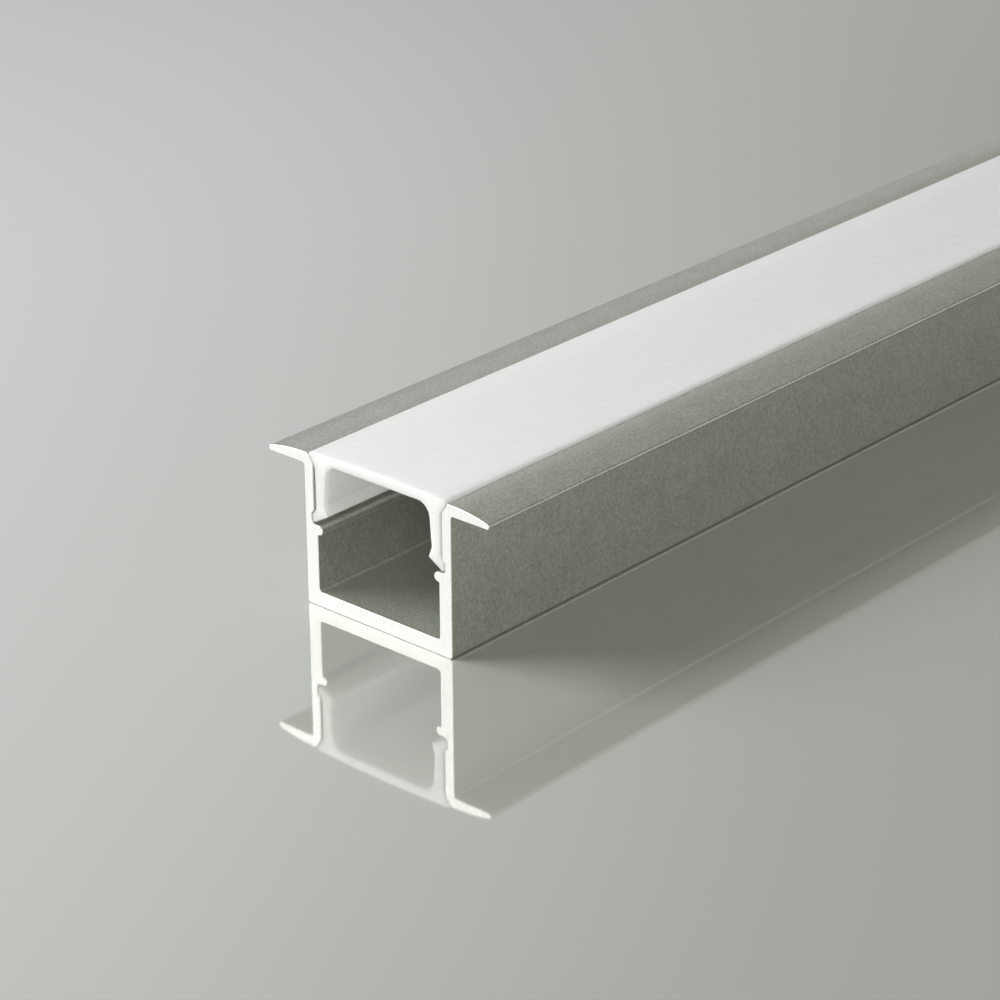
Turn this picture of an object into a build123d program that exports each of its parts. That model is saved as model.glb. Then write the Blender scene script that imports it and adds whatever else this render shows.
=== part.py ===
from build123d import *
import os
from math import atan, cos, radians, sin, tan

# A short saw-cut length of recessed LED strip profile, in millimetres.
# It is an extruded aluminium channel that drops into a routed slot and hangs on its two flanges,
# closed by an extruded opal diffuser whose two barbed legs snap into grooves in the channel's walls.
# X runs across the profile, Y along it and Z up. The origin is under the middle of the base.

# Cut length of both extrusions
length = 200.0

# Channel: body, walls and floor
body_width = 17.0
channel_height = 14.3
floor_thickness = 1.4
lower_wall = 1.4
upper_wall = 1.0
base_corner_radius = 0.3
floor_corner_radius = 0.35

# Channel: flanges that hide the edge of the slot
flange_reach = 4.25
flange_thickness = 1.0
flange_tip_thickness = 0.46
flange_flat = 0.4
flange_root_radius = 0.3

# Channel: flared mouth that the diffuser seats in
flare_depth = 0.95
flare_width = 0.65
flare_edge_radius = 0.08
flare_base_radius = 0.4

# Channel: rounded ledge, and the snap groove above it
ledge_top = 7.72
ledge_thickness = 0.86
ledge_reach = 0.57
ledge_root_radius = 0.12
groove_undercut = 0.3
groove_height = 1.33
groove_floor_radius = 0.5
groove_roof_angle = 45.0
groove_edge_radius = 0.1

# Diffuser: crowned plate
plate_thickness = 1.0
plate_rise = 0.22
plate_crown = 0.2
plate_shoulder_radius = 0.29
plate_side_radius = 0.1
plate_side_gap = 0.2
seat_clearance = 0.1

# Diffuser: legs with barbed feet
leg_gap = 0.28
leg_root_thickness = 1.22
leg_foot_thickness = 0.92
leg_root_radius = 1.35
leg_neck_radius = 0.7
barb_clearance = 0.1
barb_shoulder_radius = 0.15
barb_tip_radius = 0.25
foot_underside_angle = 30.0
toe_reach = 0.38
toe_height = 0.95
toe_radius = 0.12
toe_neck_radius = 0.5

# Two rounds on one wall leave at least this share of it straight
straight_share = 0.02


def limited(corners):
    """The corners' radii, with any that its walls have no room for made smaller."""
    points = [Vector(x, z) for x, z, radius in corners]
    points = [Vector(-points[0].X, points[0].Y), *points, Vector(-points[-1].X, points[-1].Y)]
    walls = [after - before for before, after in zip(points, points[1:])]
    turns = [radians(before.get_angle(after)) for before, after in zip(walls, walls[1:])]
    reaches = [radius * tan(turn / 2) for (x, z, radius), turn in zip(corners, turns)]
    scales = [1.0] * len(corners)
    for i, wall in enumerate(walls[1:-1]):
        room = wall.length * (1 - straight_share)
        scale = min(1.0, room / (reaches[i] + reaches[i + 1]))
        scales[i] = min(scales[i], scale)
        scales[i + 1] = min(scales[i + 1], scale)
    return [radius * scale for (x, z, radius), scale in zip(corners, scales)]


def section(corners, crown=0.0):
    """A closed face that mirrors the right half's corners, each given as x, z and its radius.

    The first corner joins its mirror image by a line, or by an arc that rises by crown.
    """
    right = [(x, z) for x, z, radius in corners]
    left = [(-x, z) for x, z in reversed(right)]
    if crown:
        middle = (0, right[0][1] + crown)
        closing = ThreePointArc(left[-1], middle, right[0])
    else:
        closing = Line(left[-1], right[0])
    face = make_face([closing, Polyline(*right, *left)])
    for (x, z), radius in zip(right, limited(corners)):
        for corner in ((x, z), (-x, z)):
            face = fillet(face.vertices().sort_by_distance(corner)[0], radius)
    return face


def extruded(face):
    """The section's bar, cut square at both ends and centred along the profile."""
    return extrude(Plane.XZ * face, amount=length / 2, both=True)


# Half-widths and heights that both pieces share
body_half = body_width / 2
lower_half = body_half - lower_wall
upper_half = body_half - upper_wall
mouth_half = upper_half + flare_width
flare_base = channel_height - flare_depth
groove_half = upper_half + groove_undercut
groove_roof = ledge_top + groove_height
roof_slope = tan(radians(groove_roof_angle))


def channel():
    """One aluminium extrusion: floor, two walls with ledge and snap groove, two flanges."""
    flange_under = channel_height - flange_thickness
    tip_half = body_half + flange_reach
    tip_top = flange_under + flange_tip_thickness
    tip_radius = flange_tip_thickness / 2

    # The flange's top falls from its flat to its tip in one long arc
    crown_run = (tip_half - tip_radius - body_half - flange_flat) / 2
    crown_x = body_half + flange_flat + crown_run
    crown_turn = atan((channel_height - tip_top) / (tip_half - crown_x))
    crown_radius = crown_run / tan(crown_turn / 2)

    groove_shoulder = groove_roof - groove_undercut * roof_slope
    ledge_half = lower_half - ledge_reach
    ledge_under = ledge_top - ledge_thickness
    ledge_radius = ledge_thickness / 2

    # From under the floor, round the outside and the flange, down the inside to the floor's top
    corners = [
        (body_half, 0, base_corner_radius),
        (body_half, flange_under, flange_root_radius),
        (tip_half, flange_under, tip_radius),
        (tip_half, tip_top, tip_radius),
        (crown_x, channel_height, crown_radius),
        (mouth_half, channel_height, flare_edge_radius),
        (upper_half, flare_base, flare_base_radius),
        (upper_half, groove_roof, groove_edge_radius),
        (groove_half, groove_shoulder, groove_edge_radius),
        (groove_half, ledge_top, groove_floor_radius),
        (ledge_half, ledge_top, ledge_radius),
        (ledge_half, ledge_under, ledge_radius),
        (lower_half, ledge_under, ledge_root_radius),
        (lower_half, floor_thickness, floor_corner_radius),
    ]
    return extruded(section(corners))


def diffuser():
    """One opal extrusion: crowned plate and two legs, each with a barb outside and a toe inside."""
    plate_half = mouth_half - plate_side_gap
    plate_edge = channel_height + plate_rise
    plate_under = plate_edge + plate_crown - plate_thickness
    leg_half = upper_half - leg_gap
    root_half = leg_half - leg_root_thickness

    # The plate's tapered side lies parallel to the flare, one seat clearance inside it
    flare_angle = atan(flare_width / flare_depth)
    seat_half = upper_half - seat_clearance / cos(flare_angle)
    taper_top = flare_base + (plate_half - seat_half) / tan(flare_angle)
    taper_base = flare_base + (leg_half - seat_half) / tan(flare_angle)

    # The barb's back lies parallel to the groove's roof, one barb clearance inside it
    barb_half = groove_half - barb_clearance
    catch_half = upper_half - barb_clearance / sin(radians(groove_roof_angle))
    barb_neck = groove_roof + (catch_half - leg_half) * roof_slope
    barb_shoulder = groove_roof + (catch_half - barb_half) * roof_slope

    # The foot's underside falls outwards from the toe to the barb's tip, above the ledge
    barb_tip = ledge_top + barb_clearance
    foot_half = leg_half - leg_foot_thickness
    toe_half = foot_half - toe_reach
    toe_under = barb_tip + (barb_half - toe_half) * tan(radians(foot_underside_angle))
    toe_neck = toe_under + toe_height

    # From the plate's edge, down the leg's outside, round the foot and up its inside
    corners = [
        (plate_half, plate_edge, plate_shoulder_radius),
        (plate_half, taper_top, plate_side_radius),
        (leg_half, taper_base, leg_neck_radius),
        (leg_half, barb_neck, leg_neck_radius),
        (barb_half, barb_shoulder, barb_shoulder_radius),
        (barb_half, barb_tip, barb_tip_radius),
        (toe_half, toe_under, toe_radius),
        (foot_half, toe_neck, toe_neck_radius),
        (root_half, plate_under, leg_root_radius),
    ]
    return extruded(section(corners, plate_crown))


os.makedirs("parts", exist_ok=True)
export_step(channel(), "parts/channel.step")
export_step(diffuser(), "parts/diffuser.step")
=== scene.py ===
from math import atan, ceil, cos, pi, radians, sin, tan

import bmesh
import bpy
from mathutils import Euler, Matrix, Vector


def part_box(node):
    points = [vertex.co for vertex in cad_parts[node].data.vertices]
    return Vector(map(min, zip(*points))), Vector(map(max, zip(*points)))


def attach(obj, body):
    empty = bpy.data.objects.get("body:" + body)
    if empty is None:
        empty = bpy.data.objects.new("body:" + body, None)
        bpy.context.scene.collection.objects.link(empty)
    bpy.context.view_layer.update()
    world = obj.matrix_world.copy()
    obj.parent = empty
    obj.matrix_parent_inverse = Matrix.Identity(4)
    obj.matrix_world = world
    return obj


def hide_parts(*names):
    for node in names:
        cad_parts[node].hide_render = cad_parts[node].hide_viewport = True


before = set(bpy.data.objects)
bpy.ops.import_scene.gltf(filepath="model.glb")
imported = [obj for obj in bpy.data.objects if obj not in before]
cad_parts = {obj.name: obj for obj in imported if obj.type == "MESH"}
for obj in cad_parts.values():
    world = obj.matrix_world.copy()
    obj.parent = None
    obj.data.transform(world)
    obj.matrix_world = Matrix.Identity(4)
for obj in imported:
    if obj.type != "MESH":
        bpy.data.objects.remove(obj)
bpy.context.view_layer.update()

# Channel: one aluminium extrusion with a flat floor, two walls that each have a ledge and a snap
# groove, a flared mouth and two thin flanges. The die makes it in long bars, which are etched, matt
# silver anodised and then sawn to length, so that the two ends are bare metal.
mm = 0.001
channel_low, channel_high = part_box("channel")
flange_top = channel_high.z
tip_half = channel_high.x

body_half = 8.5 * mm
lower_wall = 1.4 * mm
upper_wall = 1.0 * mm
floor_thickness = 1.4 * mm
base_corner_radius = 0.3 * mm
floor_corner_radius = 0.35 * mm
flange_thickness = 1.0 * mm
flange_root_radius = 0.3 * mm
flange_flat = 0.4 * mm
tip_thickness = 0.46 * mm
flare_depth = 0.95 * mm
flare_width = 0.65 * mm
flare_edge_radius = 0.08 * mm
flare_base_radius = 0.4 * mm
ledge_top = 7.72 * mm
ledge_thickness = 0.86 * mm
ledge_reach = 0.57 * mm
ledge_root_radius = 0.12 * mm
groove_depth = 0.3 * mm
groove_height = 1.33 * mm
groove_edge_radius = 0.1 * mm
groove_floor_radius = 0.5 * mm

lower_half = body_half - lower_wall
upper_half = body_half - upper_wall
mouth_half = upper_half + flare_width
groove_half = upper_half + groove_depth
groove_roof = ledge_top + groove_height
flare_base = flange_top - flare_depth
flange_under = flange_top - flange_thickness
tip_top = flange_under + tip_thickness
tip_radius = tip_thickness / 2
ledge_half = lower_half - ledge_reach
ledge_under = ledge_top - ledge_thickness

# The flange's top falls from its flat to its tip in one long arc
crown_run = (tip_half - tip_radius - body_half - flange_flat) / 2
crown_x = body_half + flange_flat + crown_run
crown_turn = atan((flange_top - tip_top) / (tip_half - crown_x))
crown_radius = crown_run / tan(crown_turn / 2)

# The ledge's two rounds take a little less than half of it each, and leave a sliver straight
ledge_round_share = 0.49
ledge_radius = ledge_round_share * ledge_thickness

# Rounds are cut into facets that turn and reach no further than this
facet_turn = radians(5)
facet_length = 0.2 * mm

# Sawn edges are broken, and faces that turn by more than the sharp turn meet in a crisp line
edge_break = 0.05 * mm
sharp_turn = radians(20)
merge_distance = 0.01 * mm
end_facing = 0.9


def edit(piece):
    """Makes the piece the only selected one and opens it in edit mode, with nothing selected there."""
    bpy.ops.object.select_all(action="DESELECT")
    piece.select_set(True)
    bpy.context.view_layer.objects.active = piece
    bpy.ops.object.mode_set(mode="EDIT")
    bpy.ops.mesh.select_mode(type="VERT")
    bpy.ops.mesh.select_all(action="DESELECT")


def select_vertex_at(x, z):
    """Selects the one vertex that lies nearest to x, z in the section."""
    bpy.ops.mesh.select_all(action="DESELECT")
    mesh = bmesh.from_edit_mesh(bpy.context.object.data)
    nearest = min(mesh.verts, key=lambda vertex: (vertex.co.x - x) ** 2 + (vertex.co.z - z) ** 2)
    nearest.select_set(True)
    bmesh.update_edit_mesh(bpy.context.object.data)


def select_faces_that(fit):
    """Selects the faces for which fit is true."""
    bpy.ops.mesh.select_mode(type="FACE")
    bpy.ops.mesh.select_all(action="DESELECT")
    mesh = bmesh.from_edit_mesh(bpy.context.object.data)
    for face in mesh.faces:
        if fit(face):
            face.select_set(True)
    bmesh.update_edit_mesh(bpy.context.object.data)


def draw_half_section(name, y, corners):
    """A new piece in edit mode: a line from corner to corner of the section's right half, at y."""
    bpy.ops.object.select_all(action="DESELECT")
    bpy.ops.mesh.primitive_plane_add(size=mm, location=(0, 0, 0))
    piece = bpy.context.object
    piece.name = piece.data.name = name
    edit(piece)
    bpy.ops.mesh.select_all(action="SELECT")
    bpy.ops.mesh.merge(type="CENTER")
    points = [Vector((0, 0, 0))] + [Vector((x, y, z)) for x, z, radius in corners]
    bpy.ops.transform.translate(value=points[1] - points[0])
    for before, after in zip(points[1:], points[2:]):
        bpy.ops.mesh.extrude_vertices_move(TRANSFORM_OT_translate={"value": after - before})
    return piece


def fill_and_round(corners):
    """Closes the half section with a face, and rounds each corner but the first and last."""
    bpy.ops.mesh.select_all(action="SELECT")
    bpy.ops.mesh.edge_face_add()
    for before, corner, after in zip(corners, corners[1:], corners[2:]):
        x, z, radius = corner
        wall_in = Vector((x - before[0], z - before[1]))
        wall_out = Vector((after[0] - x, after[1] - z))
        turn = wall_in.angle(wall_out)
        reach = radius * tan(turn / 2)
        select_vertex_at(x, z)
        bpy.ops.mesh.bevel(
            offset=reach,
            offset_type="OFFSET",
            segments=ceil(max(turn / facet_turn, 2 * reach / facet_length)),
            profile=0.5,
            affect="VERTICES",
        )


def finish_bar(piece, bar_length):
    """Mirrors the half section, extrudes it along the profile and breaks the sawn ends' edges."""
    bpy.ops.object.mode_set(mode="OBJECT")
    mirror = piece.modifiers.new("other_half", "MIRROR")
    mirror.merge_threshold = merge_distance
    bpy.ops.object.modifier_apply(modifier=mirror.name)
    edit(piece)
    bpy.ops.mesh.select_all(action="SELECT")
    bpy.ops.mesh.dissolve_faces()
    bpy.ops.mesh.select_all(action="SELECT")
    bpy.ops.mesh.extrude_region_move(TRANSFORM_OT_translate={"value": (0, bar_length, 0)})
    bpy.ops.mesh.select_all(action="SELECT")
    bpy.ops.mesh.normals_make_consistent(inside=False)
    select_faces_that(lambda face: abs(face.normal.y) > end_facing)
    bpy.ops.mesh.inset(thickness=edge_break, depth=edge_break)
    bpy.ops.object.mode_set(mode="OBJECT")
    bpy.ops.object.shade_smooth_by_angle(angle=sharp_turn)
    smoothing = piece.modifiers.new("flat_walls", "WEIGHTED_NORMAL")
    smoothing.keep_sharp = True
    bpy.ops.object.modifier_apply(modifier=smoothing.name)


# From under the middle of the floor, round the outside, and back to the middle of the floor's top
channel_corners = [
    (0, 0, 0),
    (body_half, 0, base_corner_radius),
    (body_half, flange_under, flange_root_radius),
    (tip_half, flange_under, tip_radius),
    (tip_half, tip_top, tip_radius),
    (crown_x, flange_top, crown_radius),
    (mouth_half, flange_top, flare_edge_radius),
    (upper_half, flare_base, flare_base_radius),
    (upper_half, groove_roof, groove_edge_radius),
    (groove_half, groove_roof - groove_depth, groove_edge_radius),
    (groove_half, ledge_top, groove_floor_radius),
    (ledge_half, ledge_top, ledge_radius),
    (ledge_half, ledge_under, ledge_radius),
    (lower_half, ledge_under, ledge_root_radius),
    (lower_half, floor_thickness, floor_corner_radius),
    (0, floor_thickness, 0),
]
front_section = channel_low.y + edge_break
bar_length = channel_high.y - channel_low.y - 2 * edge_break
channel_bar = draw_half_section("channel_extrusion", front_section, channel_corners)
fill_and_round(channel_corners)
finish_bar(channel_bar, bar_length)


def add_node(tree, kind, settings=None, inputs=None):
    """A new node of the tree, with its settings, and its inputs given as values or as sockets."""
    node = tree.nodes.new(kind)
    for name, value in (settings or {}).items():
        setattr(node, name, value)
    for socket, value in (inputs or {}).items():
        if isinstance(value, bpy.types.NodeSocket):
            tree.links.new(value, node.inputs[socket])
        else:
            node.inputs[socket].default_value = value
    return node


def new_group(name, inputs, outputs):
    """A shader node group with float inputs and outputs, and its input and output nodes."""
    group = bpy.data.node_groups.new(name, "ShaderNodeTree")
    for label, value in inputs.items():
        socket = group.interface.new_socket(label, in_out="INPUT", socket_type="NodeSocketFloat")
        socket.default_value = value
    for label in outputs:
        group.interface.new_socket(label, in_out="OUTPUT", socket_type="NodeSocketFloat")
    return group, add_node(group, "NodeGroupInput").outputs, add_node(group, "NodeGroupOutput").inputs


def mixed(tree, share, first, second):
    """A value that goes from the first to the second as share goes from 0 to 1."""
    mix = add_node(tree, "ShaderNodeMix", {"data_type": "FLOAT"}, {0: share, 2: first, 3: second})
    return mix.outputs[0]


def noise(group, place, size, detail, roughness=0.5):
    """A noise value over the surface, with features about as large as size."""
    fineness = add_node(group, "ShaderNodeMath", {"operation": "DIVIDE"}, {0: 1.0, 1: size})
    return add_node(
        group,
        "ShaderNodeTexNoise",
        inputs={"Vector": place, "Scale": fineness.outputs[0], "Detail": detail, "Roughness": roughness},
    ).outputs[0]


# Grain: the blotches' share of the mottle, how far die lines and saw marks are drawn out and how
# the marks slant, and how squarely a face looks along the bar where the cut begins and is whole
blotch_share = 0.15
line_squeeze = 0.004
mark_squeeze = 0.06
mark_slant = 0.6
cut_facing = (0.5, 0.8)


def extrusion_grain():
    """Grain of an extruded surface: a fine mottle with faint blotches, and die lines along the bar."""
    group, given, result = new_group(
        "extrusion_grain",
        {"Mottle Size": 0.3 * mm, "Blotch Size": 2.5 * mm, "Line Spacing": 0.2 * mm},
        ["Mottle", "Lines"],
    )
    place = add_node(group, "ShaderNodeTexCoord").outputs["Object"]
    mottle = noise(group, place, given["Mottle Size"], detail=3.0, roughness=0.6)
    blotches = noise(group, place, given["Blotch Size"], detail=1.0)
    drawn_out = add_node(
        group, "ShaderNodeMapping", inputs={"Vector": place, "Scale": (1.0, line_squeeze, 1.0)}
    )
    lines = noise(group, drawn_out.outputs[0], given["Line Spacing"], detail=2.0)
    group.links.new(mixed(group, blotch_share, mottle, blotches), result["Mottle"])
    group.links.new(lines, result["Lines"])
    return group


def sawn_end():
    """Ends of a bar that was sawn to length: a mask of the cut faces, and the blade's slanting marks."""
    group, given, result = new_group(
        "sawn_end", {"Mark Spacing": 0.15 * mm, "Slant": mark_slant}, ["Cut", "Marks"]
    )
    facing = add_node(group, "ShaderNodeNewGeometry").outputs["True Normal"]
    along = add_node(group, "ShaderNodeSeparateXYZ", inputs={0: facing}).outputs["Y"]
    endwise = add_node(group, "ShaderNodeMath", {"operation": "ABSOLUTE"}, {0: along})
    cut = add_node(
        group,
        "ShaderNodeMapRange",
        inputs={"Value": endwise.outputs[0], "From Min": cut_facing[0], "From Max": cut_facing[1]},
    )
    place = add_node(group, "ShaderNodeTexCoord").outputs["Object"]
    slant = add_node(group, "ShaderNodeCombineXYZ", inputs={"Y": given["Slant"]})
    slanted = add_node(
        group,
        "ShaderNodeMapping",
        inputs={"Vector": place, "Rotation": slant.outputs[0], "Scale": (1.0, 1.0, mark_squeeze)},
    )
    marks = noise(group, slanted.outputs[0], given["Mark Spacing"], detail=2.0)
    group.links.new(cut.outputs[0], result["Cut"])
    group.links.new(marks, result["Marks"])
    return group


grain_group = extrusion_grain()
sawn_group = sawn_end()


def new_material(name):
    """A material with nothing in its tree but its output and a Principled shader."""
    material = bpy.data.materials.new(name)
    material.use_nodes = True
    tree = material.node_tree
    tree.nodes.clear()
    shader = add_node(tree, "ShaderNodeBsdfPrincipled")
    add_node(tree, "ShaderNodeOutputMaterial", inputs={"Surface": shader.outputs[0]})
    return material, tree, shader


# Part of a noise's range, from 0 to 1, that most of its values lie in
noise_low = 0.3
noise_high = 0.7


def spread(tree, value, low, high):
    """The noise value, with the part of its range that most of it lies in spread from low to high."""
    return add_node(
        tree,
        "ShaderNodeMapRange",
        inputs={
            "Value": value,
            "From Min": noise_low,
            "From Max": noise_high,
            "To Min": low,
            "To Max": high,
        },
    ).outputs[0]


def mixed_colours(tree, share, first, second):
    """A colour that goes from the first to the second as share goes from 0 to 1."""
    mix = add_node(tree, "ShaderNodeMix", {"data_type": "RGBA"}, {0: share, 6: first, 7: second})
    return mix.outputs[2]


# The anodised mottle goes from its dark colour to its light one, and so do the bare saw marks
anodised_dark = (0.44, 0.46, 0.405, 1)
anodised_light = (0.70, 0.72, 0.64, 1)
bare_dark = (0.90, 0.90, 0.89, 1)
bare_light = (0.98, 0.98, 0.97, 1)
anodised_roughness = (0.28, 0.34)
bare_roughness = (0.45, 0.6)
anodised_metallic = 0.72
bare_metallic = 0.45
die_line_share = 0.35
aluminium_relief = 0.012 * mm
aluminium_bump = 0.6


def anodised_aluminium():
    """Etched and anodised aluminium with a fine mottle, bare and scored where it was sawn."""
    material, tree, shader = new_material("matt_anodised_aluminium")
    grain = add_node(tree, "ShaderNodeGroup", {"node_tree": grain_group}, {"Mottle Size": 0.28 * mm})
    sawn = add_node(tree, "ShaderNodeGroup", {"node_tree": sawn_group}, {"Mark Spacing": 0.15 * mm})
    mottle, lines = grain.outputs["Mottle"], grain.outputs["Lines"]
    cut, marks = sawn.outputs["Cut"], sawn.outputs["Marks"]

    anodised = mixed_colours(tree, spread(tree, mottle, 0, 1), anodised_dark, anodised_light)
    bare = mixed_colours(tree, spread(tree, marks, 0, 1), bare_dark, bare_light)
    extruded_roughness = spread(tree, mottle, *anodised_roughness)
    roughness = mixed(tree, cut, extruded_roughness, spread(tree, marks, *bare_roughness))
    relief = mixed(tree, cut, mixed(tree, die_line_share, mottle, lines), marks)
    bump = add_node(
        tree,
        "ShaderNodeBump",
        inputs={"Strength": aluminium_bump, "Distance": aluminium_relief, "Height": relief},
    )

    tree.links.new(mixed_colours(tree, cut, anodised, bare), shader.inputs["Base Color"])
    tree.links.new(mixed(tree, cut, anodised_metallic, bare_metallic), shader.inputs["Metallic"])
    tree.links.new(roughness, shader.inputs["Roughness"])
    tree.links.new(bump.outputs[0], shader.inputs["Normal"])
    return material


channel_bar.data.materials.append(anodised_aluminium())
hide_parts("channel")
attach(channel_bar, "channel")

# Diffuser: one opal polycarbonate extrusion with a crowned plate and two springy legs, each with a
# barb outside and a toe inside. The legs snap past the ledges into the channel's grooves, and the
# plate's tapered sides seat in the flared mouth. It's sawn to the channel's length.
diffuser_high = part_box("diffuser")[1]
plate_half = diffuser_high.x
plate_top = diffuser_high.z

plate_thickness = 1.0 * mm
plate_rise = 0.22 * mm
plate_shoulder_radius = 0.29 * mm
plate_side_radius = 0.1 * mm
seat_clearance = 0.1 * mm
leg_gap = 0.28 * mm
leg_root_thickness = 1.22 * mm
leg_foot_thickness = 0.92 * mm
leg_root_radius = 1.35 * mm
leg_neck_radius = 0.7 * mm
barb_clearance = 0.1 * mm
barb_shoulder_radius = 0.15 * mm
barb_tip_radius = 0.25 * mm
barb_slope = radians(45)
toe_reach = 0.38 * mm
toe_height = 0.95 * mm
toe_radius = 0.12 * mm
toe_neck_radius = 0.5 * mm
foot_slope = tan(radians(30))

plate_edge = flange_top + plate_rise
plate_under = plate_top - plate_thickness
leg_half = upper_half - leg_gap
root_half = leg_half - leg_root_thickness
foot_half = leg_half - leg_foot_thickness
toe_half = foot_half - toe_reach
flare_slope = flare_width / flare_depth
seat_half = upper_half - seat_clearance / cos(atan(flare_slope))
taper_top = flare_base + (plate_half - seat_half) / flare_slope
taper_base = flare_base + (leg_half - seat_half) / flare_slope
barb_half = groove_half - barb_clearance
catch_half = upper_half - barb_clearance / sin(barb_slope)
barb_neck = groove_roof + (catch_half - leg_half) * tan(barb_slope)
barb_shoulder = groove_roof + (catch_half - barb_half) * tan(barb_slope)
barb_tip = ledge_top + barb_clearance
toe_under = barb_tip + (barb_half - toe_half) * foot_slope

# From under the middle of the plate, down the leg's inside, round the foot and up to the plate's edge
diffuser_corners = [
    (0, plate_under, 0),
    (root_half, plate_under, leg_root_radius),
    (foot_half, toe_under + toe_height, toe_neck_radius),
    (toe_half, toe_under, toe_radius),
    (barb_half, barb_tip, barb_tip_radius),
    (barb_half, barb_shoulder, barb_shoulder_radius),
    (leg_half, barb_neck, leg_neck_radius),
    (leg_half, taper_base, leg_neck_radius),
    (plate_half, taper_top, plate_side_radius),
    (plate_half, plate_edge, plate_shoulder_radius),
]
diffuser_bar = draw_half_section("diffuser_extrusion", front_section, diffuser_corners)

# The plate's top is one shallow arc, spun from its edge up to the middle
crown_steps = 24
crown_rise = plate_top - plate_edge
top_radius = (plate_half**2 + crown_rise**2) / (2 * crown_rise)
bpy.ops.mesh.spin(
    steps=crown_steps,
    angle=2 * atan(crown_rise / plate_half),
    center=(0, front_section, plate_top - top_radius),
    axis=(0, 1, 0),
)
fill_and_round([*diffuser_corners, (0, plate_top, 0)])
finish_bar(diffuser_bar, bar_length)

opal_dark = (0.915, 0.92, 0.905, 1)
opal_light = (0.945, 0.945, 0.935, 1)
sawn_opal = (0.97, 0.97, 0.97, 1)
opal_roughness = (0.5, 0.58)
sawn_opal_roughness = (0.5, 0.65)
opal_relief = 0.01 * mm
opal_bump = 0.3
opal_ior = 1.58
opal_depth = 1.5 * mm


def opal_polycarbonate():
    """Milky polycarbonate that lets light through, smooth from the die and matt where it was sawn."""
    material, tree, shader = new_material("opal_polycarbonate")
    grain = add_node(
        tree,
        "ShaderNodeGroup",
        {"node_tree": grain_group},
        {"Mottle Size": 1.2 * mm, "Line Spacing": 0.5 * mm},
    )
    sawn = add_node(tree, "ShaderNodeGroup", {"node_tree": sawn_group}, {"Mark Spacing": 0.12 * mm})
    mottle, lines = grain.outputs["Mottle"], grain.outputs["Lines"]
    cut, marks = sawn.outputs["Cut"], sawn.outputs["Marks"]

    opal = mixed_colours(tree, spread(tree, mottle, 0, 1), opal_dark, opal_light)
    extruded_roughness = spread(tree, lines, *opal_roughness)
    roughness = mixed(tree, cut, extruded_roughness, spread(tree, marks, *sawn_opal_roughness))
    relief = mixed(tree, cut, lines, marks)
    bump = add_node(
        tree, "ShaderNodeBump", inputs={"Strength": opal_bump, "Distance": opal_relief, "Height": relief}
    )

    tree.links.new(mixed_colours(tree, cut, opal, sawn_opal), shader.inputs["Base Color"])
    tree.links.new(roughness, shader.inputs["Roughness"])
    tree.links.new(bump.outputs[0], shader.inputs["Normal"])
    shader.inputs["IOR"].default_value = opal_ior
    shader.inputs["Subsurface Weight"].default_value = 1.0
    shader.inputs["Subsurface Radius"].default_value = (1.0, 1.0, 1.0)
    shader.inputs["Subsurface Scale"].default_value = opal_depth
    return material


diffuser_bar.data.materials.append(opal_polycarbonate())
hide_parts("diffuser")
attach(diffuser_bar, "diffuser")

# Floor: a plain pale sheet with a polished face, which mirrors the profile's end and side. It lies
# a hair below the base, so that the two faces don't fight.
floor_size = 8.0
floor_gap = 0.02 * mm
floor_colour = (0.72, 0.73, 0.69, 1)
floor_metallic = 0.45
floor_roughness = 0.04
bpy.ops.object.select_all(action="DESELECT")
bpy.ops.mesh.primitive_plane_add(size=floor_size, location=(0, 0, -floor_gap))
floor = bpy.context.object
floor.name = "floor"
floor_material, floor_tree, floor_shader = new_material("polished_pale_floor")
floor_shader.inputs["Base Color"].default_value = floor_colour
floor_shader.inputs["Metallic"].default_value = floor_metallic
floor_shader.inputs["Roughness"].default_value = floor_roughness
floor.data.materials.append(floor_material)

# Light: a room that is pale on the left and greyer behind and on the right, with a bright low band
# along its right side, and two soft lamps in front, one high on the left and one low on the right.
# The camera sees neither lamp. The low one leaves out the floor, which would mirror it from behind.
room_left = (0.65, 0.66, 0.69, 1)
low_left = (0.29, 0.30, 0.31, 1)
room_behind = (0.30, 0.30, 0.275, 1)
low_behind = (0.61, 0.61, 0.61, 1)
room_right = (0.19, 0.19, 0.18, 1)
low_right = (1.15, 1.12, 1.01, 1)

# Where one part of the room fades into the next: up from the low band, away from the left part and
# into the right one, as the share of the direction that is up or to the right
low_band = (0.1, 0.35)
left_part = (-0.74, -0.46)
right_part = (-0.2, 0.4)
world = bpy.data.worlds.new("pale_room")
world.use_nodes = True
room = world.node_tree
room.nodes.clear()
direction = add_node(room, "ShaderNodeTexCoord").outputs["Generated"]
towards = add_node(room, "ShaderNodeSeparateXYZ", inputs={0: direction})


def room_share(axis, start, end):
    """A value that rises smoothly from 0 to 1 as the direction's share on axis goes from start to end."""
    return add_node(
        room,
        "ShaderNodeMapRange",
        {"interpolation_type": "SMOOTHSTEP"},
        {"Value": towards.outputs[axis], "From Min": start, "From Max": end},
    ).outputs[0]


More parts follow.
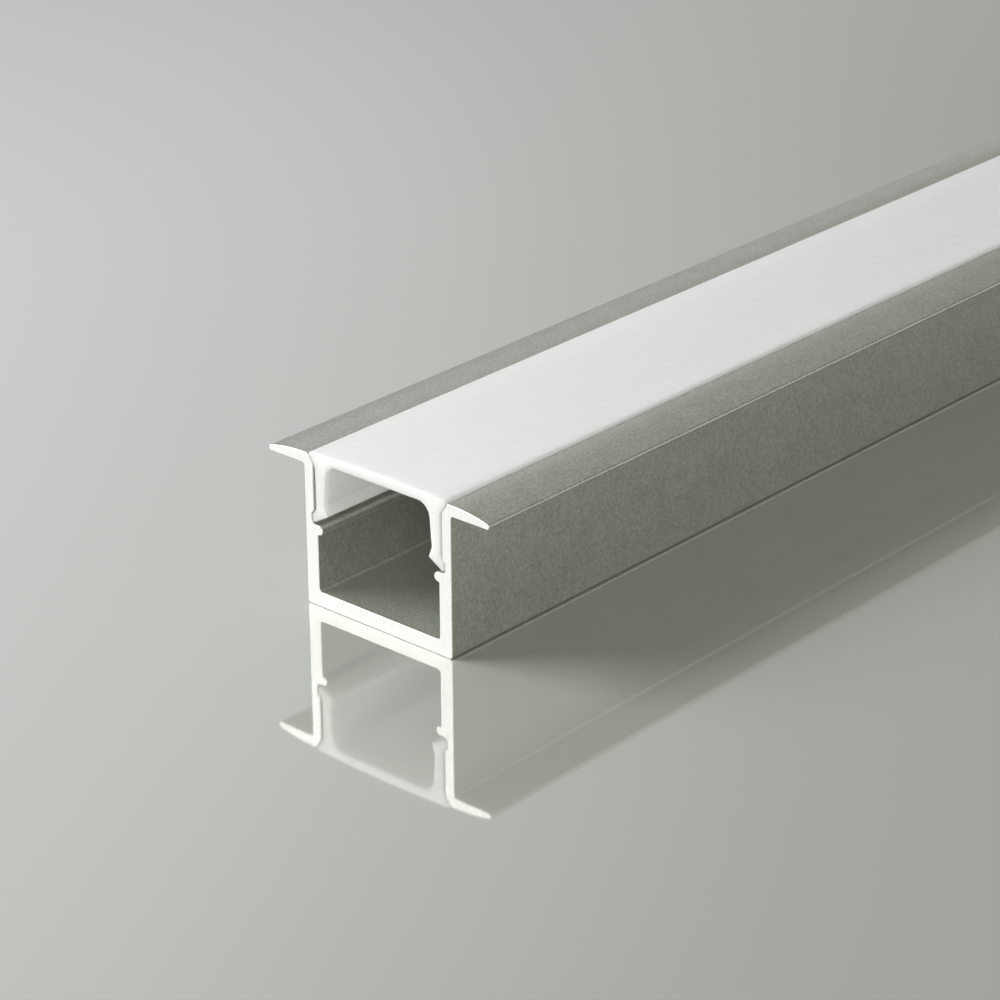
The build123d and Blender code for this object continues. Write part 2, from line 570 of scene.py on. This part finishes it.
height = room_share("Z", *low_band)
past_left = room_share("X", *left_part)
rightness = room_share("X", *right_part)
left_colour = mixed_colours(room, height, low_left, room_left)
behind_colour = mixed_colours(room, height, low_behind, room_behind)
right_colour = mixed_colours(room, height, low_right, room_right)
far_colour = mixed_colours(room, rightness, behind_colour, right_colour)
room_colour = mixed_colours(room, past_left, left_colour, far_colour)
background = add_node(room, "ShaderNodeBackground", inputs={"Color": room_colour})
add_node(room, "ShaderNodeOutputWorld", inputs={"Surface": background.outputs[0]})
bpy.context.scene.world = world

lamp_distance = 0.4
lamp_side = 0.22


def add_lamp(name, azimuth, elevation, level):
    """A square soft lamp aimed at the sawn end, where a white that faces it renders at the level."""
    aim = Vector((0, channel_low.y, flange_top / 2))
    back = Vector((sin(azimuth) * cos(elevation), -cos(azimuth) * cos(elevation), sin(elevation)))
    bpy.ops.object.light_add(type="AREA", location=aim + lamp_distance * back)
    lamp = bpy.context.object
    lamp.name = name
    lamp.rotation_euler = back.to_track_quat("Z", "Y").to_euler()
    lamp.data.shape = "SQUARE"
    lamp.data.size = lamp_side
    lamp.data.energy = level * (pi * lamp_distance) ** 2
    lamp.visible_camera = False
    return lamp


add_lamp("left_lamp", radians(-60), radians(40), 0.88)
right_lamp = add_lamp("right_lamp", radians(38), radians(14), 0.43)
left_out = bpy.data.collections.new("left_out_by_right_lamp")
left_out.objects.link(floor)
left_out.collection_objects[0].light_linking.link_state = "EXCLUDE"
right_lamp.light_linking.receiver_collection = left_out

# Camera: where the photograph was taken from, worked out from the profile's straight edges. Its
# place is in metres, and its focal length and film width are in millimetres.
camera_place = (0.173793, -0.279119, 0.125247)
camera_azimuth = radians(41.737)
camera_elevation = radians(24.384)
camera_roll = radians(-0.345)
focal_length = 116.915
film_width = 36
nearest_seen = 0.01
bpy.ops.object.camera_add(location=camera_place)
camera = bpy.context.object
camera.name = "camera"
looking = Euler((pi / 2 - camera_elevation, 0, camera_azimuth)).to_matrix()
camera.rotation_euler = (looking @ Matrix.Rotation(camera_roll, 3, "Z")).to_euler()
camera.data.sensor_width = film_width
camera.data.lens = focal_length
camera.data.clip_start = nearest_seen
camera.data.clip_end = 2 * floor_size
bpy.context.scene.camera = camera
bpy.context.scene.view_settings.view_transform = "Standard"
